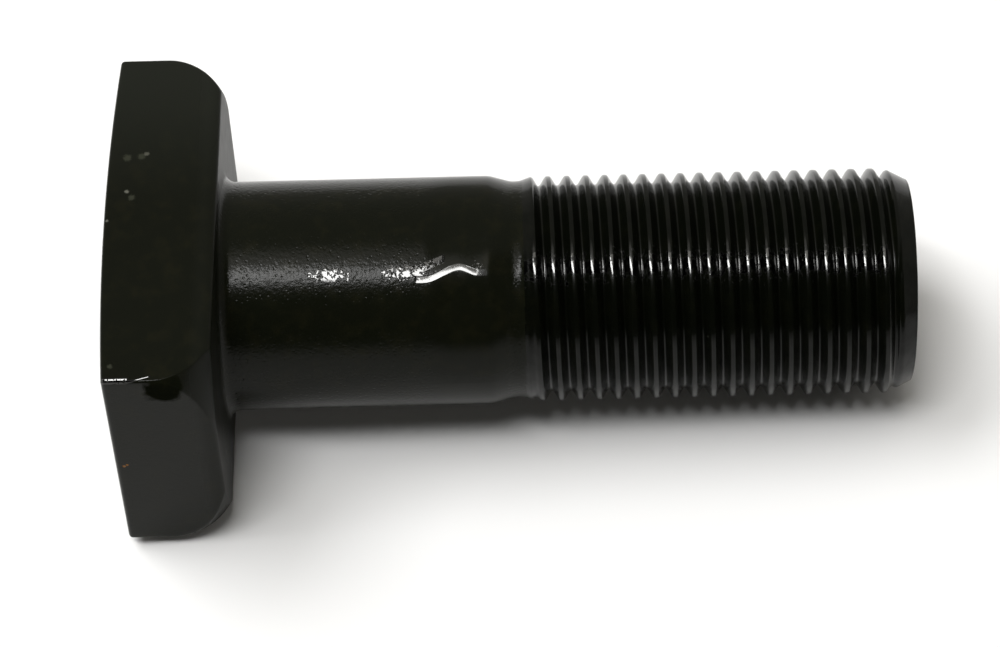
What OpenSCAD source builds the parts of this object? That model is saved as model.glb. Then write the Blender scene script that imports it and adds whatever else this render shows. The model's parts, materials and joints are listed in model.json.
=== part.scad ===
// Bolt with a long rectangular head, forged and rolled in one piece.
// Lengths in millimetres. The bolt's axis is +X, from the bearing face to the tip.
// The origin is the middle of the bearing face; +Z is square to a long flat of the head.

/* [Head] */
// Length of the head across the axis
head_long = 31.8; // [26:0.1:40]
// Width of the head over its two long flats
head_wide = 21; // [20:0.1:28]
// Height of the head at its outer corners
head_high = 8.1; // [6:0.1:12]
// Radius of the crowned outer face
crown_r = 220; // [120:5:600]
// Rounding of the four corner edges that run along the axis
corner_r = 0.2; // [0.2:0.05:1.5]
// Rounding of the edges around the outer face
outer_r = 0.35; // [0.2:0.05:1]
// Rounding of the two long edges of the bearing face
bearing_r = 0.4; // [0.2:0.05:0.6]
// Radius of the turned rounding on the corners of the bearing face
turn_r = 5.2; // [3:0.1:7]
// Distance of that rounding's middle behind the bearing face
turn_back = 4.6; // [2:0.1:6]
// Distance of that rounding's middle from the axis
turn_mid = 13.8; // [12:0.05:16]

/* [Shank] */
// Diameter of the plain shank
shank_d = 18.11; // [17.5:0.01:18.2]
// Length of the plain shank under the head
shank_len = 21; // [12:0.5:30]
// Radius of the fillet between head and shank
fillet_r = 0.97; // [0.4:0.01:2]
// Diameter at the foot of the neck before the thread
neck_d = 17.1; // [16:0.05:17.6]
// Length of the taper from the shank down to the neck
neck_len = 2.4; // [1:0.1:4]

/* [Threaded end] */
// Outside diameter over the thread crests
thread_d = 17.79; // [17.7:0.01:18]
// Distance from one thread crest to the next
thread_pitch = 1.5; // [1:0.05:2]
// Width of the flat on each thread crest
crest_flat = 0.26; // [0.15:0.01:0.4]
// Width of the flat at the foot of each thread groove
root_flat = 0.34; // [0.2:0.01:0.4]
// Length of the first part turn of thread that rises out of the neck
rise_len = 0.9; // [0.5:0.1:2]
// Length from the bearing face to the tip
under_head_len = 54; // [40:0.5:80]
// Diameter of the flat end face
end_d = 15.9; // [14:0.1:17]
// Length of the taper at the tip
end_len = 1.8; // [0.8:0.1:3]

/* [Hidden] */
$fn = 96;
// Distance of the crown's middle along the axis, so that the crown passes through the outer corners
crown_x = sqrt(crown_r * crown_r - head_long * head_long / 4) - head_high;
// Distance from the bearing face to the highest line of the crown
head_top = crown_r - crown_x;
// Narrowest strip of flat bearing face beside the fillet
bearing_strip = 0.07;
// The fillet as made, which stays within the flat bearing face
fillet = min(fillet_r, (head_wide - shank_d) / 2 - bearing_r - bearing_strip);
// Steps in the fillet's quarter arc
fillet_steps = 5;
// Angle of a thread flank to the plane across the axis
flank_angle = 30;
// Length that a thread flank takes along the axis, and the depth that this gives
flank_len = (thread_pitch - crest_flat - root_flat) / 2;
thread_depth = flank_len / tan(flank_angle);
// Where the full thread starts and ends, and the whole grooves between
thread_from = shank_len + neck_len + rise_len;
thread_to = under_head_len - end_len;
grooves = floor((thread_to - thread_from - crest_flat) / thread_pitch);
eps = 0.01;

// A rectangle from [x0, y0] to [x1, y1] with its four corners rounded: r0 at x0, r1 at x1.
module soft_rect(x0, y0, x1, y1, r0, r1) {
    union() {
        translate([x0 + r0, y0])
            square([x1 - x0 - r0 - r1, y1 - y0]);
        translate([x0, y0 + r0])
            square([r0 + eps, y1 - y0 - 2 * r0]);
        translate([x1 - r1 - eps, y0 + r1])
            square([r1 + eps, y1 - y0 - 2 * r1]);
        for (y = [y0 + r0, y1 - r0])
            translate([x0 + r0, y])
                circle(r = r0);
        for (y = [y0 + r1, y1 - r1])
            translate([x1 - r1, y])
                circle(r = r1);
    }
}

// The head seen along the axis: a long rectangle with small rounded corners.
module head_plan() {
    translate([-head_top - 1, 0, 0])
        rotate([90, 0, 90])
            linear_extrude(height = head_top + 1)
                soft_rect(-head_long / 2, -head_wide / 2, head_long / 2, head_wide / 2, corner_r, corner_r);
}

// The head seen from its end: outer edges nearly sharp, bearing edges rounded.
module head_side() {
    translate([0, head_long / 2 + 1, 0])
        rotate([90, 0, 0])
            linear_extrude(height = head_long + 2)
                soft_rect(-head_top, -head_wide / 2, 0, head_wide / 2, outer_r, bearing_r);
}

// The round that crowns the outer face along its length.
module head_crown() {
    translate([crown_x, 0, -head_wide / 2 - 1])
        cylinder(r = crown_r, h = head_wide + 2, $fn = 720);
}

// The turned form that rounds the four corners of the bearing face.
module head_turned() {
    rotate([0, 90, 0])
        rotate_extrude()
            union() {
                translate([0, -head_top - 1])
                    square([head_long, head_top + 1 - turn_back]);
                translate([0, -turn_back - eps])
                    square([turn_mid, turn_back + eps]);
                intersection() {
                    translate([turn_mid, -turn_back])
                        circle(r = turn_r);
                    translate([turn_mid - eps, -turn_back - eps])
                        square([turn_r + 1, turn_back + eps]);
                }
            }
}

module head() {
    intersection() {
        head_plan();
        head_side();
        head_crown();
        head_turned();
    }
}

// The shank, neck, threaded end and tip, turned as one profile. The thread's section is true;
// its grooves are closed rings at the pitch, in place of one groove that winds round.
module stem() {
    r = shank_d / 2;
    crest = thread_d / 2;
    root = crest - thread_depth;
    groove_points = [for (i = [grooves - 1 : -1 : 0])
        let (x = thread_from + crest_flat + i * thread_pitch)
            each [[crest, x + root_flat + 2 * flank_len],
                  [root, x + root_flat + flank_len],
                  [root, x + flank_len],
                  [crest, x]]];
    fillet_arc = [for (a = [0 : 90 / fillet_steps : 90])
        [r + fillet * (1 - cos(a)), fillet * (1 - sin(a))]];
    rotate([0, 90, 0])
        rotate_extrude()
            polygon(concat(
                [[0, -head_high / 2],
                 [0, under_head_len],
                 [end_d / 2, under_head_len],
                 [crest, thread_to]],
                groove_points,
                [[crest, thread_from],
                 [neck_d / 2, shank_len + neck_len],
                 [r, shank_len]],
                fillet_arc,
                [[r + fillet, -head_high / 2]]));
}

module bolt() {
    color([0.11, 0.11, 0.1])
        union() {
            head();
            stem();
        }
}

bolt();
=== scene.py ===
# %% [markdown]
# # A black T-head bolt
#
# The real bolt is one piece of steel: a rectangular head is forged on a round bar, the head's
# bearing side is turned round at its corners, a fine thread is rolled on the other end, and the
# whole is blackened and oiled. Here it is built as one closed mesh worked out with numpy. It takes
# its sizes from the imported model, so it lies exactly where the solid lies.

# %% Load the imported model
import json

import bpy
import numpy as np
from mathutils import Matrix, Vector


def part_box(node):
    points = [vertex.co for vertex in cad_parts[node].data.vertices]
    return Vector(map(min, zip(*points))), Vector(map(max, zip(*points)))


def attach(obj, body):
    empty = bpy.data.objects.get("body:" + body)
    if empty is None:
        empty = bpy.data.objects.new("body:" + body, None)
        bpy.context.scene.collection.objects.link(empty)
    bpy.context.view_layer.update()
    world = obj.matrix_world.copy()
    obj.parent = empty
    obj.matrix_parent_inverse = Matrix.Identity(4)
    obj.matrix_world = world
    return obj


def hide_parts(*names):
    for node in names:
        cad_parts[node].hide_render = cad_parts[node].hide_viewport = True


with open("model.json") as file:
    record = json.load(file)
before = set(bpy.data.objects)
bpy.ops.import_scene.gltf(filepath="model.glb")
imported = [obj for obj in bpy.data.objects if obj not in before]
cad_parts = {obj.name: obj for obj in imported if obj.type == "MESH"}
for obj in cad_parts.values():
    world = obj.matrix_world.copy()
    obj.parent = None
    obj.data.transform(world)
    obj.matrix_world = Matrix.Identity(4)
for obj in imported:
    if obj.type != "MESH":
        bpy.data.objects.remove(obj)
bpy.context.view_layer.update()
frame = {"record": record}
scene = bpy.context.scene
scene.view_settings.view_transform = "Standard"

# %% [markdown]
# ## The driving sizes
#
# All shapes below are worked out in millimetres and turned to metres once, when the mesh is made.
# The outer sizes come from the solid's box, and the round stretches from the record's mounts, so
# only the forms that neither of them states are written here as numbers.

# %% Sizes from the model
MM = 0.001
box_low, box_high = (np.array(corner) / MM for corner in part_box("bolt"))
mounts = {mount["name"]: mount for mount in frame["record"]["mounts"]}


def round_stretch(name):
    """Start, end and radius of a round mount along X: its middle less and plus half its length."""
    middle = mounts[name]["pos_m"][0] / MM
    half = mounts[name]["dims"]["length_mm"] / 2
    return middle - half, middle + half, mounts[name]["dims"]["r_mm"]


head_top = -box_low[0]
tip_x = box_high[0]
half_long = box_high[1]
half_wide = box_high[2]
shank_start, shank_end, shank_r = round_stretch("shank")
thread_start, thread_end, thread_r = round_stretch("thread")
print("head", head_top, half_long, half_wide, "shank", shank_r, "thread", thread_r, "tip", tip_x)

# %% [markdown]
# ## The camera
#
# The view was found by matching the head's corners, the shank's two outlines and the tip: a long
# lens from a little over half a right angle above the table, almost square to the bolt's side. A
# camera looks along its own -Z, so its matrix has three columns: right, up and back.

# %% Camera
IMAGE_WIDTH = 1000
view_elevation = np.radians(53.106)
view_turn = np.radians(0.974)
view_roll = np.radians(-2.154)
view_distance = 285.6
view_target = np.array([21.648, -3.367, 0.0])
focal_pixels = 3623.6

back = np.array([
    np.cos(view_elevation) * np.sin(view_turn),
    -np.cos(view_elevation) * np.cos(view_turn),
    np.sin(view_elevation),
])
level_right = np.array([np.cos(view_turn), np.sin(view_turn), 0.0])
level_up = np.cross(back, level_right)
right = np.cos(view_roll) * level_right + np.sin(view_roll) * level_up
up = np.cos(view_roll) * level_up - np.sin(view_roll) * level_right
eye = (view_target + view_distance * back) * MM

camera = bpy.data.objects.new("camera", bpy.data.cameras.new("camera"))
camera.data.sensor_width = 36.0
camera.data.lens = focal_pixels * camera.data.sensor_width / IMAGE_WIDTH
camera.data.clip_start = 0.01
columns = np.column_stack([right, up, back, eye])
camera.matrix_world = Matrix(np.vstack([columns, [0, 0, 0, 1]]).tolist())
scene.collection.objects.link(camera)
scene.camera = camera
print("lens", round(camera.data.lens, 2), "mm from", np.round(eye, 4))

# %% [markdown]
# ## Helpers for soft corners
#
# A forged edge is never a hard line. Two surfaces are joined by a soft minimum or maximum, which
# rounds the meeting line by about the width that it is given.


# %% Soft joins
def soft_min(a, b, width):
    """The lower of a and b, with a rounded corner: (a + b - sqrt((a - b)² + width²)) / 2."""
    return (a + b - np.sqrt((a - b) ** 2 + width**2)) / 2


def soft_max(a, b, width):
    """The higher of a and b, with a rounded corner."""
    return (a + b + np.sqrt((a - b) ** 2 + width**2)) / 2


def soft_step(x, start, end):
    """0 before start, 1 after end, and the curve 3t² - 2t³ between them."""
    t = np.clip((x - start) / (end - start), 0, 1)
    return t * t * (3 - 2 * t)


print("soft join of 1 and 1:", round(float(soft_min(1.0, 1.0, 0.1)), 3))

# %% [markdown]
# ## The head
#
# The real head is forged as a block, and its bearing side is then turned, so that the turned corners
# meet the flats in crescents. A box cut by other meshes would have long thin faces there that shade
# badly. So a ring is carried from the middle of the outer face, round its edge, along the sides and
# in across the bearing face. Each ring is a rectangle with rounded corners, cut by the circle that
# the lathe left. The columns of the grid slide with the cut, so that the crease between the flat
# and the turned corner always runs along mesh edges and stays clean.

# %% Forms of the head
crown_r = 220.0
corner_r = 0.2
outer_r = 0.35
bearing_r = 0.4
brim_len = 0.9
turn_r = 5.2
turn_back = 4.6
turn_mid = 13.8


def crown(y):
    """The outer face, a cylinder about Z: x = crown_r - head_top - sqrt(crown_r² - y²)."""
    return crown_r - head_top - np.sqrt(crown_r**2 - y**2)


def turned(x):
    """The turned corner, an arc round the axis: r = turn_mid + sqrt(turn_r² - (x + turn_back)²)."""
    past = np.maximum(x + turn_back, 0)
    return turn_mid + np.sqrt(turn_r**2 - past**2)


print("crown falls", round(float(crown(half_long) + head_top), 3), "mm to the ends of the head")

# %% One ring of the head
least_corner_r = 0.1
crease_width = 0.06
END_COLUMNS = 16
CORNER_COLUMNS = 14
FLAT_COLUMNS = 20


def all_quarters(quarter):
    """Angles over a whole turn from those over the first quarter, mirrored at 90 and 180 degrees."""
    mirrored = quarter[:, ::-1]
    turns = [quarter, np.pi - mirrored, np.pi + quarter, 2 * np.pi - mirrored]
    return np.concatenate([turn[:, :-1] for turn in turns], axis=1)


def head_ring(inset, cut):
    """Angle and distance from the axis of each ring: a rectangle inset all round, cut by a circle."""
    half_y = half_long - inset
    half_z = half_wide - inset
    radius = np.maximum(corner_r - inset, least_corner_r)
    low = np.minimum(
        np.arctan2(half_z - radius, half_y), np.arccos(np.minimum(half_y / cut, 1))
    )
    high = np.maximum(
        np.arctan2(half_z, half_y - radius), np.arcsin(np.minimum(half_z / cut, 1))
    )
    to_end = 1 - (1 - np.linspace(0, 1, END_COLUMNS, endpoint=False)) ** 1.6
    to_corner = (1 - np.cos(np.pi * np.linspace(0, 1, CORNER_COLUMNS, endpoint=False))) / 2
    to_flat = np.linspace(0, 1, FLAT_COLUMNS + 1) ** 1.6
    quarter = np.concatenate(
        [low * to_end, low + (high - low) * to_corner, high + (np.pi / 2 - high) * to_flat],
        axis=1,
    )
    angle = all_quarters(quarter)
    c = np.maximum(np.abs(np.cos(angle)), 1e-9)
    s = np.maximum(np.abs(np.sin(angle)), 1e-9)
    flat = np.minimum(half_y / c, half_z / s)
    middle_y = half_y - radius
    middle_z = half_z - radius
    across = middle_y * s - middle_z * c
    arc = middle_y * c + middle_z * s + np.sqrt(np.maximum(radius**2 - across**2, 0))
    in_corner = (flat * c > middle_y) & (flat * s > middle_z)
    return angle, soft_min(np.where(in_corner, arc, flat), cut, crease_width)


# %% Rings of the head, from the outer face to the bearing face
FACE_ROWS = 14
EDGE_ROWS = 6
SIDE_ROWS = 12
TURN_ROWS = 18
SEAT_ROWS = 5
fillet_reach_out = shank_r + shank_start
seat_gap = 0.3
never = turned(-turn_back)


def as_rows(values):
    """A list of values as one column, one value for each ring."""
    return np.asarray(values, float)[:, None]


face_share = as_rows(1 - (1 - np.linspace(0, 1, FACE_ROWS + 1)[1:]) ** 1.7)
edge_turn = as_rows(np.linspace(0, np.pi / 2, EDGE_ROWS))
side_share = as_rows(np.linspace(0, 1, SIDE_ROWS + 1)[1:])
turn_x = as_rows(np.linspace(-turn_back, -brim_len, TURN_ROWS + 1)[1:])
seat_share = as_rows(np.linspace(0, 1, SEAT_ROWS + 1)[1:])

face_angle, face_r = head_ring(np.full_like(face_share, outer_r), never)
face_r = face_r * face_share
face_x = crown(face_r * np.cos(face_angle))

edge_angle, edge_r = head_ring(outer_r * (1 - np.sin(edge_turn)), never)
edge_x = crown(edge_r * np.cos(edge_angle)) + outer_r * (1 - np.cos(edge_turn))

side_angle, side_r = head_ring(0 * side_share, never)
side_x = edge_x[-1:] + (-turn_back - edge_x[-1:]) * side_share

turn_angle, turn_reach = head_ring(0 * turn_x, turned(turn_x))
turn_x = turn_x + 0 * turn_angle

brim_x = -brim_len * (1 - np.sin(edge_turn))
brim_angle, brim_reach = head_ring(bearing_r * (1 - np.cos(edge_turn)), turned(brim_x))
brim_x = brim_x + 0 * brim_angle

seat_angle = brim_angle[-1:] + 0 * seat_share
seat_inwards = 1 - (1 - seat_gap) * seat_share
seat_reach = fillet_reach_out + (brim_reach[-1:] - fillet_reach_out) * seat_inwards
seat_x = 0 * seat_angle

head_x = np.concatenate([face_x, edge_x[1:], side_x, turn_x, brim_x[1:], seat_x])
head_r = np.concatenate([face_r, edge_r[1:], side_r, turn_reach, brim_reach[1:], seat_reach])
head_angle = np.concatenate(
    [face_angle, edge_angle[1:], side_angle, turn_angle, brim_angle[1:], seat_angle]
)
print("head rings and columns:", head_x.shape)

# %% [markdown]
# ## The stem
#
# The stem is a turned blank: fillet, shank, a neck that falls away to a short flat foot before the
# thread, and a cone at the tip. The thread is then pressed into it as one right-hand helix. A Screw
# modifier could wind a profile, but it would not run out into the neck and the cone as a rolled
# thread does. So the groove is a function: its 60 degree form depends on the distance to the nearest
# crest, measured along the axis in turns, and it fades at both ends.

# %% Blank and groove
pitch = 1.5
crest_x = 25.506
crest_half = 0.13
groove_depth = 0.78
flank_slope = np.sqrt(3.0)
root_width = 0.14
crest_width = 0.08
neck_x = 23.4
fall_len = 1.7
neck_r = 8.55
end_r = 7.95
join_width = 0.06
rise_fade = (23.9, 24.9)
tip_fade = (51.9, 53.1)


def blank(x):
    """The stem before threading: shank, falling neck, rise to the thread and cone at the tip."""
    fall = (shank_r - neck_r) / fall_len
    rise = (thread_r - neck_r) / (thread_start - neck_x)
    cone = (thread_r - end_r) / (tip_x - thread_end)
    foot = soft_max(neck_r, shank_r - fall * (x - shank_end), join_width)
    neck = soft_min(shank_r, foot, join_width)
    body = soft_min(thread_r, thread_r + rise * (x - thread_start), join_width)
    tip = thread_r - cone * (x - thread_end)
    return soft_min(soft_max(neck, body, join_width), tip, join_width)


def groove(x, angle):
    """Depth of the groove: 60 degree flanks from crest to root, fading at the neck and the tip."""
    turns = (x - crest_x) / pitch - angle / (2 * np.pi)
    off_crest = np.abs(turns - np.round(turns))
    flank = (off_crest - crest_half) * pitch * flank_slope
    form = soft_min(soft_max(flank, 0.0, crest_width), groove_depth, root_width)
    fade = soft_step(x, *rise_fade) * (1 - soft_step(x, *tip_fade))
    return form * fade


def stem_reach(x, angle):
    """Distance of the stem's surface from the axis."""
    return blank(x) - groove(x, angle)


print("groove", round(float(groove(crest_x + 4.5 * pitch, 0.0)), 3), "mm deep at a root")

# %% Rings of the stem and the helix
STEM_COLUMNS = 208
FILLET_ROWS = 9
SHANK_ROWS = 34
NECK_ROWS = 14
TIP_ROWS = 5
END_ROWS = 6
rim_r = 0.12
thread_from = neck_x - 0.5
thread_to = tip_x - rim_r
# Places across one turn of the thread, in turns from a crest, closer together at crest and root.
SAMPLES = np.array([
    -0.5, -0.44, -0.39, -0.30, -0.17, -0.09, -0.045,
    0.0, 0.045, 0.09, 0.17, 0.30, 0.39, 0.44,
])

column_angle = np.linspace(0, 2 * np.pi, STEM_COLUMNS, endpoint=False)[None, :]
fillet_turn = as_rows(np.linspace(0, np.pi / 2, FILLET_ROWS))
fillet_x = shank_start * (1 - np.cos(fillet_turn)) + 0 * column_angle
fillet_reach = shank_r + shank_start * (1 - np.sin(fillet_turn)) + 0 * column_angle

plain_x = as_rows(np.concatenate([
    np.linspace(shank_start, shank_end - 0.2, SHANK_ROWS)[1:],
    np.linspace(shank_end - 0.2, thread_from, NECK_ROWS)[1:],
]))
plain_x = plain_x + 0 * column_angle
plain_reach = stem_reach(plain_x, column_angle)

first_turn = np.floor((thread_from - crest_x) / pitch) - 1
last_turn = np.ceil((thread_to - crest_x) / pitch)
turn_count = int(last_turn - first_turn)
strip_turn = as_rows((first_turn + np.arange(turn_count)[:, None] + 0.5 + SAMPLES).ravel())
strip_x = crest_x + pitch * (strip_turn + column_angle / (2 * np.pi))
strip_x = np.clip(strip_x, thread_from, thread_to)
strip_reach = stem_reach(strip_x, column_angle)

rim_turn = as_rows(np.linspace(0, np.pi / 2, TIP_ROWS)[1:])
rim_x = thread_to + rim_r * np.sin(rim_turn) + 0 * column_angle
rim_start = stem_reach(thread_to + 0 * column_angle, column_angle)
rim_reach = rim_start - rim_r * (1 - np.cos(rim_turn))
end_share = as_rows(np.linspace(1, 0, END_ROWS + 1)[1:-1])
end_x = tip_x + 0 * end_share + 0 * column_angle
end_reach = rim_reach[-1:] * end_share

stem_x = np.concatenate([fillet_x, plain_x])
stem_r = np.concatenate([fillet_reach, plain_reach])
tip_ring_x = np.concatenate([rim_x, end_x])
tip_ring_r = np.concatenate([rim_reach, end_reach])
print("stem", stem_x.shape, "helix", strip_x.shape, "tip", tip_ring_x.shape)

# %% [markdown]
# ## One closed mesh
#
# The real bolt is one piece, and a gap or an inner wall would show in its gloss, so all the grids
# become one closed mesh. They are numbered one after the other. Inside a grid each cell is a quad.
# Between the head's uneven columns and the stem's even ones a zip of triangles crosses the flat
# bearing face. The helix runs on from the last column of one turn to the first column of the next.
# Points that fall together are merged, and every quad is cut in two.


# %% Helpers for faces
def quads(numbers, wrap=True):
    """The cells of a grid of point numbers, turned so that they face outwards."""
    ahead = np.roll(numbers, -1, axis=1) if wrap else numbers[:, 1:]
    here = numbers if wrap else numbers[:, :-1]
    cells = np.stack([here[:-1], ahead[:-1], ahead[1:], here[1:]], axis=-1)
    return cells.reshape(-1, 4)


def halves(cells):
    """Each quad as two triangles."""
    return np.concatenate([cells[:, [0, 1, 2]], cells[:, [0, 2, 3]]])


def zip_rings(outer, outer_angle, inner, inner_angle):
    """Triangles between rings whose columns differ: each edge meets the other ring's last point."""
    outer_ends = np.append(outer_angle[1:], 2 * np.pi)
    inner_ends = np.append(inner_angle[1:], 2 * np.pi)
    inner_last = np.searchsorted(np.append(inner_angle, 2 * np.pi), outer_ends, "right") - 1
    outer_last = np.searchsorted(np.append(outer_angle, 2 * np.pi), inner_ends, "left") - 1
    inner_last = inner_last % len(inner)
    along_outer = np.stack([outer, np.roll(outer, -1), inner[inner_last]], axis=1)
    along_inner = np.stack([outer[outer_last], np.roll(inner, -1), inner], axis=1)
    return np.concatenate([along_outer, along_inner])


def points_of(x, r, angle):
    """Points at distance r from the X axis: y = r cos(angle), z = r sin(angle)."""
    spread = np.broadcast_to(angle, x.shape)
    return np.stack([x, r * np.cos(spread), r * np.sin(spread)], axis=-1).reshape(-1, 3)


# %% Number the grids and join them
grids = {
    "head": (head_x, head_r, head_angle),
    "stem": (stem_x, stem_r, column_angle),
    "helix": (strip_x, strip_reach, column_angle),
    "tip": (tip_ring_x, tip_ring_r, column_angle),
}
numbers = {}
count = 0
for name, (x, r, angle) in grids.items():
    numbers[name] = count + np.arange(x.size).reshape(x.shape)
    count += x.size
points = np.concatenate([points_of(*grid) for grid in grids.values()])
points = np.concatenate([points, [[-head_top, 0, 0], [tip_x, 0, 0]]])
head_pole, tip_pole = count, count + 1

helix = numbers["helix"]
per_turn = len(SAMPLES)
next_turn = np.minimum(np.arange(len(helix)) + per_turn, len(helix) - 1)
helix_on = np.concatenate([helix, helix[next_turn, :1]], axis=1)
first_ring = numbers["head"][0]
last_ring = numbers["tip"][-1]
triangles = np.concatenate([
    np.stack([np.full_like(first_ring, head_pole), np.roll(first_ring, -1), first_ring], axis=1),
    halves(quads(numbers["head"])),
    zip_rings(numbers["head"][-1], head_angle[-1], numbers["stem"][0], column_angle[0]),
    halves(quads(numbers["stem"])),
    halves(quads(np.concatenate([numbers["stem"][-1:], helix[:1]]))),
    halves(quads(helix_on, wrap=False)),
    halves(quads(np.concatenate([helix[-1:], numbers["tip"]]))),
    np.stack([last_ring, np.roll(last_ring, -1), np.full_like(last_ring, tip_pole)], axis=1),
])
print("triangles before merging:", len(triangles))

# %% Merge the points that fall together
ROUND_TO = 1e-4
_, first, merged = np.unique(
    np.round(points / ROUND_TO).astype(np.int64), axis=0, return_index=True, return_inverse=True
)
points = points[first]
triangles = merged.reshape(-1)[triangles]
a, b, c = triangles.T
triangles = triangles[(a != b) & (b != c) & (c != a)]
edges = np.sort(triangles[:, [[0, 1], [1, 2], [2, 0]]].reshape(-1, 2), axis=1)
_, shared = np.unique(edges, axis=0, return_counts=True)
print("points", len(points), "triangles", len(triangles), "open edges", int((shared != 2).sum()))

# %% Make the mesh
mesh = bpy.data.meshes.new("forged_bolt")
mesh.from_pydata((points * MM).tolist(), [], triangles.tolist())
mesh.polygons.foreach_set("use_smooth", np.ones(len(triangles), bool))
mesh.set_sharp_from_angle(angle=np.radians(38))
rolled_from = neck_x + 0.25
face_x_middle = points[triangles, 0].mean(axis=1)
mesh.polygons.foreach_set("material_index", (face_x_middle > rolled_from).astype(np.int32))
mesh.update()
bolt = bpy.data.objects.new("forged_bolt", mesh)
scene.collection.objects.link(bolt)
print(bolt.name, len(mesh.polygons), "faces")

# %% [markdown]
# ## Node helpers
#
# A material is a small network. One helper adds a node, sets its own options, and either links or
# sets each input, so that each finish below reads as a short list.


# %% Node helpers
def add_node(tree, kind, inputs=None, **options):
    """Adds a node with its options. An input that is a socket is linked, any other value is set."""
    made = tree.nodes.new(kind)
    for name, value in options.items():
        setattr(made, name, value)
    for name, value in (inputs or {}).items():
        if isinstance(value, bpy.types.NodeSocket):
            tree.links.new(value, made.inputs[name])
        else:
            made.inputs[name].default_value = value
    return made


def work_out(tree, operation, first, second=0.0, third=0.0):
    """One step of arithmetic."""
    values = {0: first, 1: second, 2: third}
    return add_node(tree, "ShaderNodeMath", values, operation=operation).outputs[0]


def ease(tree, value, start, end, low=0.0, high=1.0):
    """A smooth step from low to high as the value goes from start to end."""
    values = {"Value": value, "From Min": start, "From Max": end, "To Min": low, "To Max": high}
    step = add_node(tree, "ShaderNodeMapRange", values, interpolation_type="SMOOTHSTEP")
    return step.outputs["Result"]


def mix_colour(tree, share, first, second):
    """A colour between two."""
    mixed = add_node(tree, "ShaderNodeMix", data_type="RGBA")
    for socket, value in ((0, share), (6, first), (7, second)):
        if isinstance(value, bpy.types.NodeSocket):
            tree.links.new(value, mixed.inputs[socket])
        else:
            mixed.inputs[socket].default_value = value
    return mixed.outputs[2]


# %% Helpers for noise and groups
def noise(tree, vector, scale, detail=2.0, roughness=0.5):
    """Cloudy noise from 0 to 1. The scale is in features for each metre."""
    values = {"Vector": vector, "Scale": scale, "Detail": detail, "Roughness": roughness}
    return add_node(tree, "ShaderNodeTexNoise", values).outputs["Fac"]


def new_group(name, inputs, outputs):
    """An empty node group with named sockets: its tree, what comes in and what goes out."""
    tree = bpy.data.node_groups.new(name, "ShaderNodeTree")
    for socket, kind in inputs.items():
        tree.interface.new_socket(socket, in_out="INPUT", socket_type=kind)
    for socket, kind in outputs.items():
        tree.interface.new_socket(socket, in_out="OUTPUT", socket_type=kind)
    return tree, tree.nodes.new("NodeGroupInput").outputs, tree.nodes.new("NodeGroupOutput").inputs


# %% [markdown]
# ## Effects that the finishes share
#
# The blackening is a layer of tiny crystals with pits between them, so it glitters and is grainy
# when dry. Oil fills the grain and mirrors. Dust lies on it as a few pale specks. Each effect is a
# group that gives out a mask or a height, and each finish places it with its own values.

# %% Grain of the blackening
FLOAT = "NodeSocketFloat"
VECTOR = "NodeSocketVector"
grain_group, come_in, go_out = new_group(
    "blackening_grain",
    {"Vector": VECTOR, "Fineness": FLOAT},
    {"Height": FLOAT, "Mottle": FLOAT},
)
fine = noise(grain_group, come_in["Vector"], come_in["Fineness"], 3.0, 0.6)
coarse = noise(grain_group, come_in["Vector"], 700.0, 3.0, 0.55)
pit_cells = add_node(
    grain_group, "ShaderNodeTexVoronoi", {"Vector": come_in["Vector"], "Scale": 2400.0}
)
pits = ease(grain_group, pit_cells.outputs["Distance"], 0.1, 0.3)
height = work_out(grain_group, "MULTIPLY_ADD", pits, 0.4, fine)
grain_group.links.new(height, go_out["Height"])
grain_group.links.new(coarse, go_out["Mottle"])
print(grain_group.name, len(grain_group.nodes), "nodes")

# %% Dust specks
dust_group, come_in, go_out = new_group(
    "dust_specks", {"Vector": VECTOR, "Spacing": FLOAT}, {"Dust": FLOAT}
)
cells = add_node(
    dust_group, "ShaderNodeTexVoronoi", {"Vector": come_in["Vector"], "Scale": come_in["Spacing"]}
)
chosen = add_node(dust_group, "ShaderNodeSeparateColor", {"Color": cells.outputs["Color"]})
speck_size = ease(dust_group, chosen.outputs["Red"], 0.7, 1.0, 0.0, 0.05)
close = work_out(dust_group, "LESS_THAN", cells.outputs["Distance"], speck_size)
dust_group.links.new(close, go_out["Dust"])
print(dust_group.name, len(dust_group.nodes), "nodes")

# %% One speck at a given place
speck_group, come_in, go_out = new_group(
    "speck", {"Vector": VECTOR, "Place": VECTOR, "Size": FLOAT}, {"Speck": FLOAT}
)
ends = {0: come_in["Vector"], 1: come_in["Place"]}
away = add_node(speck_group, "ShaderNodeVectorMath", ends, operation="DISTANCE").outputs["Value"]
ragged = noise(speck_group, come_in["Vector"], 6000.0, 2.0, 0.6)
share = work_out(speck_group, "DIVIDE", away, come_in["Size"])
uneven = work_out(speck_group, "ADD", share, ragged)
speck_group.links.new(ease(speck_group, uneven, 1.4, 0.8), go_out["Speck"])
print(speck_group.name, len(speck_group.nodes), "nodes")

# %% [markdown]
# ## Oil on the shank and on the head's edge
#
# Under the lamp the oil has run together in two thin runs that meet like a Y, stands in small drops
# beside them, and hangs as a bead along the near edge of the head's upper flat. As meshes these
# would be thinner than the bolt's own facets, so one group draws them all. It gives out a mask of
# what is wet and a height in millimetres. A place on the shank is given by its distance along the
# axis and its turn round it, in degrees.

# %% Places on the shank
DEGREE_LENGTH = np.radians(shank_r)
film_group, come_in, go_out = new_group(
    "oil_film", {"Vector": VECTOR}, {"Wet": FLOAT, "Height": FLOAT}
)


def oil(operation, first, second=0.0, third=0.0):
    """One step of arithmetic in the oil's group."""
    return work_out(film_group, operation, first, second, third)


def oil_ease(value, start, end, low=0.0, high=1.0):
    """A smooth step in the oil's group."""
    return ease(film_group, value, start, end, low, high)


def between(value, first, last, edge):
    """1 between two values, with soft edges."""
    rise = oil_ease(value, first - edge, first + edge)
    fall = oil_ease(value, last + edge, last - edge)
    return oil("MULTIPLY", rise, fall)


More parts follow.
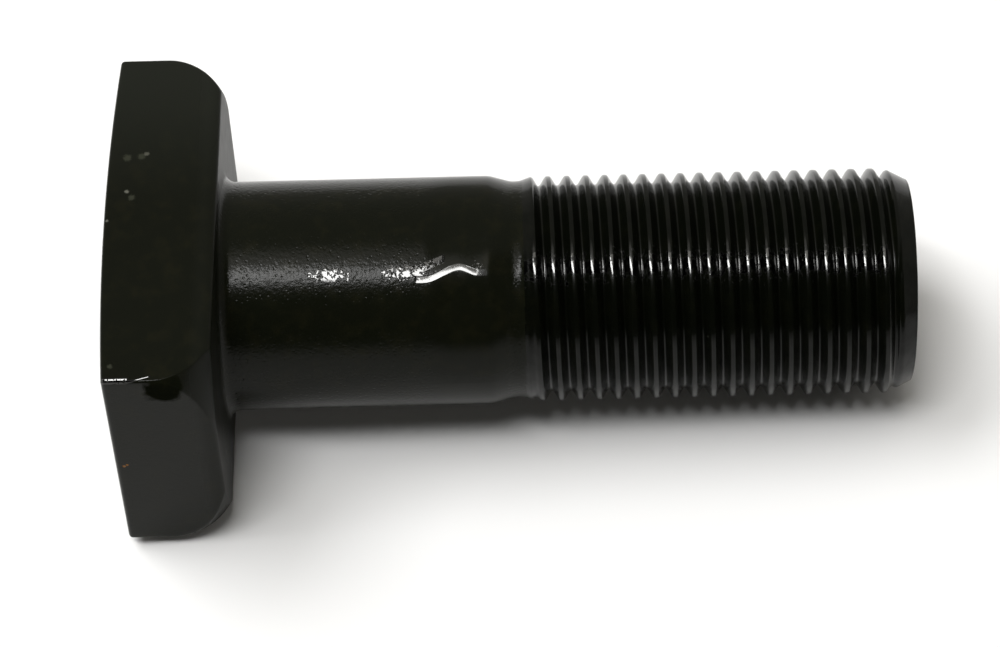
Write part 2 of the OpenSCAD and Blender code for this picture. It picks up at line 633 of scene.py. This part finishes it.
part_of = add_node(film_group, "ShaderNodeSeparateXYZ", {"Vector": come_in["Vector"]}).outputs
along = oil("MULTIPLY", part_of["X"], 1 / MM)
turn = oil("DEGREES", oil("ARCTAN2", part_of["Z"], part_of["Y"]))
crumbs = noise(film_group, come_in["Vector"], 4200.0, 2.0, 0.5)
print("one degree of turn is", round(float(DEGREE_LENGTH), 3), "mm on the shank")

# %% [markdown]
# Each run is a stripe about a line. Its surface leans more, the farther the line lies from the turn
# at which the film is level, as a thick film does beside its edge. The drops are one noise, cut at
# a level that rises towards the edge of each patch, so they thin out there by themselves.

# %% Forms of runs and drops
level_turn = 117.1
run_edge = 0.25
run_end = 0.12


def oil_run(line_turn, first, last, half_width):
    """A run of oil about a line: its mask, and its height above the shank in millimetres.

    The height is the distance from the line times the lean, which is the line's turn less the
    level turn.
    """
    off = oil("SUBTRACT", turn, line_turn)
    across = between(off, -half_width, half_width, run_edge)
    mask = oil("MULTIPLY", across, between(along, first, last, run_end))
    lean = oil("RADIANS", oil("SUBTRACT", line_turn, level_turn))
    return mask, oil("MULTIPLY", lean, oil("MULTIPLY", off, DEGREE_LENGTH))


def oil_drops(middle_x, middle_turn, half_x, half_turn, least):
    """Small drops in a round patch: where the noise is above a level that rises outwards."""
    out_x = oil("DIVIDE", oil("SUBTRACT", along, middle_x), half_x)
    out_turn = oil("DIVIDE", oil("SUBTRACT", turn, middle_turn), half_turn)
    outwards = oil("MULTIPLY_ADD", out_x, out_x, oil("MULTIPLY", out_turn, out_turn))
    over = oil("SUBTRACT", crumbs, oil("MULTIPLY_ADD", outwards, 0.25, least))
    return oil_ease(over, 0.0, 0.06)


# %% Runs and drops
lower_fall = oil_ease(along, 16.0, 18.75, 121.7, 115.8)
lower_line = oil("ADD", lower_fall, oil_ease(along, 18.6, 20.2, 0.0, 3.0))
upper_line = oil("MULTIPLY_ADD", along, -2.62, 157.4)
lower_wet, lower_height = oil_run(lower_line, 15.3, 20.1, 1.7)
upper_wet, upper_height = oil_run(upper_line, 14.9, 17.5, 2.3)
upper_wet = oil("MULTIPLY", upper_wet, oil_ease(crumbs, 0.39, 0.49))
wet = oil("MAXIMUM", lower_wet, upper_wet)
drop_patches = (
    (8.7, 118.6, 1.7, 6.0, 0.39),
    (14.2, 118.2, 1.7, 5.5, 0.39),
    (15.5, 119.2, 0.45, 3.0, 0.3),
    (20.0, 117.0, 0.7, 6.0, 0.5),
)
for patch in drop_patches:
    wet = oil("MAXIMUM", wet, oil_drops(*patch))
height = oil("MULTIPLY", lower_height, lower_wet)
height = oil("MULTIPLY_ADD", upper_height, upper_wet, height)
print("oil: 2 runs and", len(drop_patches), "patches of drops")

# %% [markdown]
# The lower run follows a low ridge beside the neck. Both sides of the ridge lean away from the lamp,
# so the shank is darker there than nearer the head. The ridge is a fifth of a millimetre high at
# most and shows only in the gloss, so it is a part of the height as well.

# %% Ridge under the lower run
ridge_half = 1.7
ridge_foot = 14.0
ridge_slope = 0.09
off_line = oil("ABSOLUTE", oil("SUBTRACT", turn, lower_line))
down = oil("MAXIMUM", oil("SUBTRACT", off_line, ridge_half), 0.0)
down = oil("MINIMUM", down, ridge_foot)
down = oil("MULTIPLY", down, oil_ease(off_line, 80.0, 16.0))
down = oil("MULTIPLY", down, between(along, 16.9, 21.2, 1.0))
down = oil("MULTIPLY", down, oil("SUBTRACT", 1.0, upper_wet))
height = oil("MULTIPLY_ADD", down, -ridge_slope * DEGREE_LENGTH, height)
print("ridge falls", round(float(ridge_slope * ridge_foot * DEGREE_LENGTH), 2), "mm on each side")

# %% Bead on the head's near edge
bead_slope = 0.47
from_edge = oil("ADD", oil("MULTIPLY", part_of["Y"], 1 / MM), half_long)
on_top = oil_ease(part_of["Z"], (half_wide - 0.3) * MM, (half_wide - 0.15) * MM)
thick = oil("MULTIPLY", between(from_edge, -0.1, 0.38, 0.05), between(along, -7.95, -6.05, 0.08))
thick = oil("MULTIPLY", thick, oil_ease(crumbs, 0.36, 0.46))
from_tail = oil("SUBTRACT", from_edge, oil_ease(along, -6.1, -3.9, 0.1, 0.55))
thin = oil("MULTIPLY", between(from_tail, -0.07, 0.07, 0.04), between(along, -6.2, -4.45, 0.08))
bead = oil("MULTIPLY", oil("MAXIMUM", thick, thin), on_top)
wet = oil("MAXIMUM", wet, bead)
height = oil("MULTIPLY_ADD", oil("MULTIPLY", from_edge, bead_slope), bead, height)
film_group.links.new(wet, go_out["Wet"])
film_group.links.new(height, go_out["Height"])
print(film_group.name, len(film_group.nodes), "nodes")

# %% [markdown]
# ## The two finishes
#
# The forged head and shank are drier and grainier, and the rolled thread is darker and wet all over.
# Both are a dark Principled surface with weak gloss. On the thread a clear coat is the oil. A coat
# keeps the mesh's own smooth normal, so it can't show runs and drops. Where the oil stands thick the
# surface turns metallic instead, with a base colour as dark as oil mirrors: five parts in a hundred.

# %% What both finishes start from
weak_gloss = 0.1
oil_mirror = (0.05, 0.05, 0.049, 1)
dust_colour = (0.06, 0.06, 0.05, 1)


def start_finish(name, fineness, dust_spacing, dark):
    """A material with its shader, its place socket, its grain and its dusty, mottled base colour."""
    material = bpy.data.materials.new(name)
    material.use_nodes = True
    tree = material.node_tree
    shader = tree.nodes["Principled BSDF"]
    place = add_node(tree, "ShaderNodeTexCoord").outputs["Object"]
    grain = add_node(
        tree, "ShaderNodeGroup", {"Vector": place, "Fineness": fineness}, node_tree=grain_group
    ).outputs
    dust = add_node(
        tree, "ShaderNodeGroup", {"Vector": place, "Spacing": dust_spacing}, node_tree=dust_group
    ).outputs["Dust"]
    brown = [dark[0] * 1.5, dark[1] * 1.35, dark[2] * 1.2, 1]
    stained = mix_colour(tree, ease(tree, grain["Mottle"], 0.45, 0.75), [*dark, 1], brown)
    base = mix_colour(tree, dust, stained, dust_colour)
    shader.inputs["Specular IOR Level"].default_value = weak_gloss
    return material, tree, shader, place, grain, base


# %% Forged steel: painted reflection, smears and rust
# A lighter colour painted on the head as a reflection of the pale far wall.
painted_far_reflection = (0.0135, 0.0148, 0.0112, 1)
smear = (0.03, 0.032, 0.022, 1)
rust = (0.21, 0.085, 0.012, 1)
top = half_wide
near = -half_long
forged_black, tree, shader, place, grain, base = start_finish(
    "forged_black", 3000.0, 260.0, (0.0049, 0.0056, 0.003)
)
spread = add_node(tree, "ShaderNodeSeparateXYZ", {"Vector": place}).outputs
on_head = ease(tree, spread["X"], 0.3 * MM, 0.1 * MM)
# Painted reflection: the head is painted lighter towards its far end, where its flats mirror the far
# wall.
painted_reflection_share = ease(tree, spread["Y"], -1.0 * MM, 16.0 * MM)
base = mix_colour(tree, work_out(tree, "MULTIPLY", on_head, painted_reflection_share), base, painted_far_reflection)
specks = (
    ((-7.1, 5.8, top), 0.5, smear),
    ((-6.0, 5.9, top), 0.45, smear),
    ((-5.6, 6.15, top), 0.3, (0.07, 0.07, 0.055, 1)),
    ((-7.0, 2.4, top), 0.26, (0.11, 0.11, 0.09, 1)),
    ((-6.6, 1.8, top), 0.4, smear),
    ((-8.4, -0.45, top), 0.2, (0.1, 0.1, 0.085, 1)),
    ((-7.45, -14.4, top), 0.3, smear),
    ((-7.45, near, -0.45), 0.2, rust),
    ((-7.2, near, -0.27), 0.17, rust),
)
for middle, size, colour in specks:
    values = {"Vector": place, "Place": Vector(middle) * MM, "Size": size * MM}
    speck = add_node(tree, "ShaderNodeGroup", values, node_tree=speck_group).outputs["Speck"]
    base = mix_colour(tree, speck, base, colour)
print(forged_black.name, "has", len(specks), "specks")

# %% Forged steel: oil and gloss
forged_dry = 0.17
oil_gloss = 0.08
seat_dull = 0.25
film = add_node(tree, "ShaderNodeGroup", {"Vector": place}, node_tree=film_group).outputs
wet = film["Wet"]
dry_share = work_out(tree, "SUBTRACT", 1.0, wet)
cloudy = work_out(tree, "MULTIPLY_ADD", grain["Mottle"], 0.1, forged_dry - 0.05)
seat_side = work_out(tree, "MULTIPLY", ease(tree, spread["X"], -2.2 * MM, -0.8 * MM), on_head)
cloudy = work_out(tree, "MULTIPLY_ADD", seat_side, seat_dull, cloudy)
over_oil = work_out(tree, "SUBTRACT", cloudy, oil_gloss)
roughness = work_out(tree, "MULTIPLY_ADD", over_oil, dry_share, oil_gloss)
tree.links.new(mix_colour(tree, wet, base, oil_mirror), shader.inputs["Base Color"])
tree.links.new(wet, shader.inputs["Metallic"])
tree.links.new(roughness, shader.inputs["Roughness"])
print("roughness about", forged_dry, "dry and", oil_gloss, "in oil")

# %% Forged steel: grain
grain_depth = 0.024
slick = ease(tree, spread["X"], 15.8 * MM, 17.2 * MM)
slick = work_out(tree, "MULTIPLY", slick, ease(tree, spread["X"], 22.3 * MM, 21.9 * MM))
standing = work_out(tree, "MULTIPLY_ADD", dry_share, 0.8 * grain_depth, 0.2 * grain_depth)
for smooth_place, less in ((on_head, 0.7), (slick, 0.8)):
    kept = work_out(tree, "MULTIPLY_ADD", smooth_place, -less, 1.0)
    standing = work_out(tree, "MULTIPLY", standing, kept)
relief = work_out(tree, "MULTIPLY_ADD", grain["Height"], standing, film["Height"])
bump = add_node(tree, "ShaderNodeBump", {"Height": relief, "Distance": MM}).outputs["Normal"]
print("grain", grain_depth, "mm deep")

# %% [markdown]
# One corner of the head has been knocked: a ragged spot on its near end leans back to the upper
# flat and mirrors the dark above. It is too shallow to change the outline, so only the normal turns
# there, part of the way to the slope between the two faces.

# %% Forged steel: the knocked corner
knock_middle = Vector((-3.45, near, 9.35)) * MM
knock_rise = np.radians(40.0)
knock_share = 0.75
from_knock = add_node(
    tree, "ShaderNodeVectorMath", {0: place, 1: knock_middle}, operation="DISTANCE"
).outputs["Value"]
ragged = noise(tree, place, 900.0, 2.0, 0.5)
knock = work_out(tree, "MULTIPLY_ADD", ragged, 1.2 * MM, from_knock)
knock = ease(tree, knock, 2.25 * MM, 1.75 * MM, 0.0, knock_share)
below_top = ease(tree, spread["Z"], top * MM, (top - 0.25) * MM, 0.15, 1.0)
knock = work_out(tree, "MULTIPLY", knock, below_top)
knock = work_out(tree, "MULTIPLY", knock, ease(tree, spread["X"], -1.9 * MM, -2.3 * MM))
sloped = add_node(
    tree,
    "ShaderNodeVectorTransform",
    {"Vector": (0.0, -np.cos(knock_rise), np.sin(knock_rise))},
    vector_type="NORMAL",
    convert_from="OBJECT",
    convert_to="WORLD",
).outputs["Vector"]
normal = add_node(
    tree, "ShaderNodeMix", {0: knock, 4: bump, 5: sloped}, data_type="VECTOR"
).outputs[1]
tree.links.new(normal, shader.inputs["Normal"])
print(forged_black.name, len(tree.nodes), "nodes")

# %% [markdown]
# The thread's crests carry small beads of oil where they face the lamp. They are a noise cut at a
# level that rises with the turn away from it, so that each crest has one broken glint.

# %% Rolled thread
thread_gloss = 0.2
thread_film = 0.18
thread_grain = 0.004
glint_turn = 116.8
glint_reach = 24.0
rolled_black, tree, shader, place, grain, base = start_finish(
    "rolled_black", 4200.0, 420.0, (0.0019, 0.0024, 0.0013)
)
spread = add_node(tree, "ShaderNodeSeparateXYZ", {"Vector": place}).outputs
turn = work_out(tree, "DEGREES", work_out(tree, "ARCTAN2", spread["Z"], spread["Y"]))
off_glint = work_out(tree, "ABSOLUTE", work_out(tree, "SUBTRACT", turn, glint_turn))
beads = noise(tree, place, 2600.0, 1.0, 0.4)
ragged = work_out(tree, "MULTIPLY_ADD", beads, -glint_reach, off_glint)
before_tip = ease(tree, spread["X"], 51.9 * MM, 51.6 * MM)
wet = work_out(tree, "MULTIPLY", ease(tree, ragged, -6.8, -9.0), before_tip)
cloudy = work_out(tree, "MULTIPLY_ADD", grain["Mottle"], 0.1, thread_gloss - 0.05)
cloudy = work_out(tree, "MULTIPLY_ADD", wet, -0.1, cloudy)
film_share = ease(tree, grain["Mottle"], 0.3, 0.6, 0.6 * thread_film, 1.2 * thread_film)
relief = work_out(tree, "MULTIPLY", grain["Height"], thread_grain)
bump = add_node(tree, "ShaderNodeBump", {"Height": relief, "Distance": MM}).outputs["Normal"]
tree.links.new(mix_colour(tree, wet, base, oil_mirror), shader.inputs["Base Color"])
tree.links.new(wet, shader.inputs["Metallic"])
tree.links.new(cloudy, shader.inputs["Roughness"])
tree.links.new(film_share, shader.inputs["Coat Weight"])
tree.links.new(bump, shader.inputs["Normal"])
shader.inputs["Coat Roughness"].default_value = 0.06
shader.inputs["Coat IOR"].default_value = 1.45
mesh.materials.append(forged_black)
mesh.materials.append(rolled_black)
print("finishes:", [m.name for m in mesh.materials])

# %% [markdown]
# ## Floor and light
#
# The bolt lies on a white table, with the end of its thread on it and its head a millimetre clear,
# as the shadow under the head shows. So the table is tilted by less than three degrees in the bolt's
# own frame. The table is white round the bolt and painted greyer towards the viewer, as painted
# shade for the lamp's light falling off there, which only the near end of the head mirrors.

# %% Floor
table_slope = 0.0455
table_drop = 11.27
table_half = 3000.0
sheet_white = (0.98, 0.98, 0.98, 1)
# The grey of the painted shade where the lamp's light falls off.
painted_falloff_grey = (0.4, 0.4, 0.4, 1)
corner = np.array([[-1, -1], [1, -1], [1, 1], [-1, 1]]) * table_half
table_points = np.column_stack([corner, table_slope * corner[:, 0] - table_drop])
floor_mesh = bpy.data.meshes.new("table")
floor_mesh.from_pydata((table_points * MM).tolist(), [], [(0, 1, 2, 3)])
floor = bpy.data.objects.new("table", floor_mesh)
scene.collection.objects.link(floor)
paper = bpy.data.materials.new("white_table")
paper.use_nodes = True
paper_tree = paper.node_tree
paper_shader = paper_tree.nodes["Principled BSDF"]
on_table = add_node(paper_tree, "ShaderNodeTexCoord").outputs["Object"]
across_table = add_node(paper_tree, "ShaderNodeSeparateXYZ", {"Vector": on_table}).outputs["Y"]
# Painted shade: the table's colour greys towards the viewer, where the lamp's light falls off.
painted_falloff_share = ease(paper_tree, across_table, -40 * MM, -180 * MM)
sheet_colour = mix_colour(paper_tree, painted_falloff_share, sheet_white, painted_falloff_grey)
paper_tree.links.new(sheet_colour, paper_shader.inputs["Base Color"])
paper_shader.inputs["Roughness"].default_value = 0.9
paper_shader.inputs["Specular IOR Level"].default_value = 0.0
floor_mesh.materials.append(paper)
print("table", table_drop, "mm below the axis, tilted", round(np.degrees(np.arctan(table_slope)), 1))

# %% [markdown]
# One narrow lamp hangs above, a little to the near left, and makes the line of light on the shank.
# On black oil that line needs more light than the white table can take, so a card in the same place
# is seen only in the gloss. A wide window at the far left softens the shadows, and is kept out of
# the gloss so that it leaves no second line.


# %% Lamps
def soft_box(name, direction, distance, size, level):
    """A square lamp. On a floor that faces it, level 1 renders a colour as it is written."""
    lamp = bpy.data.lights.new(name, "AREA")
    lamp.shape = "RECTANGLE"
    lamp.size, lamp.size_y = size
    lamp.energy = np.pi**2 * distance**2 * level
    holder = bpy.data.objects.new(name, lamp)
    aim = Vector(direction).normalized()
    holder.location = Vector(view_target * MM) + aim * distance
    holder.rotation_mode = "QUATERNION"
    holder.rotation_quaternion = aim.to_track_quat("Z", "Y")
    scene.collection.objects.link(holder)
    return holder


lamp_distance = 0.8
lamp_aim = (-0.18, -0.27, 0.95)
lamp_size = (0.34, 0.12)
soft_box("lamp", lamp_aim, lamp_distance, lamp_size, 0.42)
card = soft_box("card", lamp_aim, lamp_distance, lamp_size, 0.48)
card.visible_diffuse = False
window = soft_box("window", (-0.48, 0.16, 0.86), lamp_distance, (0.5, 0.34), 0.54)
window.visible_glossy = False

# %% [markdown]
# The room is a dark world with a warm, pale wall on the far side, another past the tip, and a pale
# ceiling straight above. The head's flats and the tip mirror these. To the camera it is plain white.

# %% Room
wall_colour = (1.0, 0.97, 0.9, 1)
seen_colour = (1.0, 1.0, 1.0, 1)
room = bpy.data.worlds.new("room")
scene.world = room
room.use_nodes = True
room_tree = room.node_tree
backdrop = room_tree.nodes["Background"]
sky = add_node(room_tree, "ShaderNodeTexCoord").outputs["Generated"]


def facing(direction):
    """How far the sky's direction points along the given one, from -1 to 1."""
    aim = tuple(Vector(direction).normalized())
    pointing = add_node(room_tree, "ShaderNodeVectorMath", {0: sky, 1: aim}, operation="DOT_PRODUCT")
    return pointing.outputs["Value"]


far_wall = ease(room_tree, facing((0, 1, 0)), -0.15, 0.2, 0.0, 0.4)
tip_wall = ease(room_tree, facing((1, 0, 0)), 0.45, 0.75, 0.015, 0.45)
ceiling = ease(room_tree, facing((-0.1, -0.1, 0.99)), 0.955, 0.99, 0.0, 2.0)
walls = work_out(room_tree, "MAXIMUM", far_wall, tip_wall)
pale = work_out(room_tree, "ADD", walls, ceiling)
seen = add_node(room_tree, "ShaderNodeLightPath").outputs["Is Camera Ray"]
strength = work_out(room_tree, "MAXIMUM", pale, seen)
room_colour = mix_colour(room_tree, seen, wall_colour, seen_colour)
room_tree.links.new(room_colour, backdrop.inputs["Color"])
room_tree.links.new(strength, backdrop.inputs["Strength"])
print(room.name, len(room_tree.nodes), "nodes")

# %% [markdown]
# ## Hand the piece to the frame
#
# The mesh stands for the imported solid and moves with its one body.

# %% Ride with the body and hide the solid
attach(bolt, "root")
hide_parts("bolt")
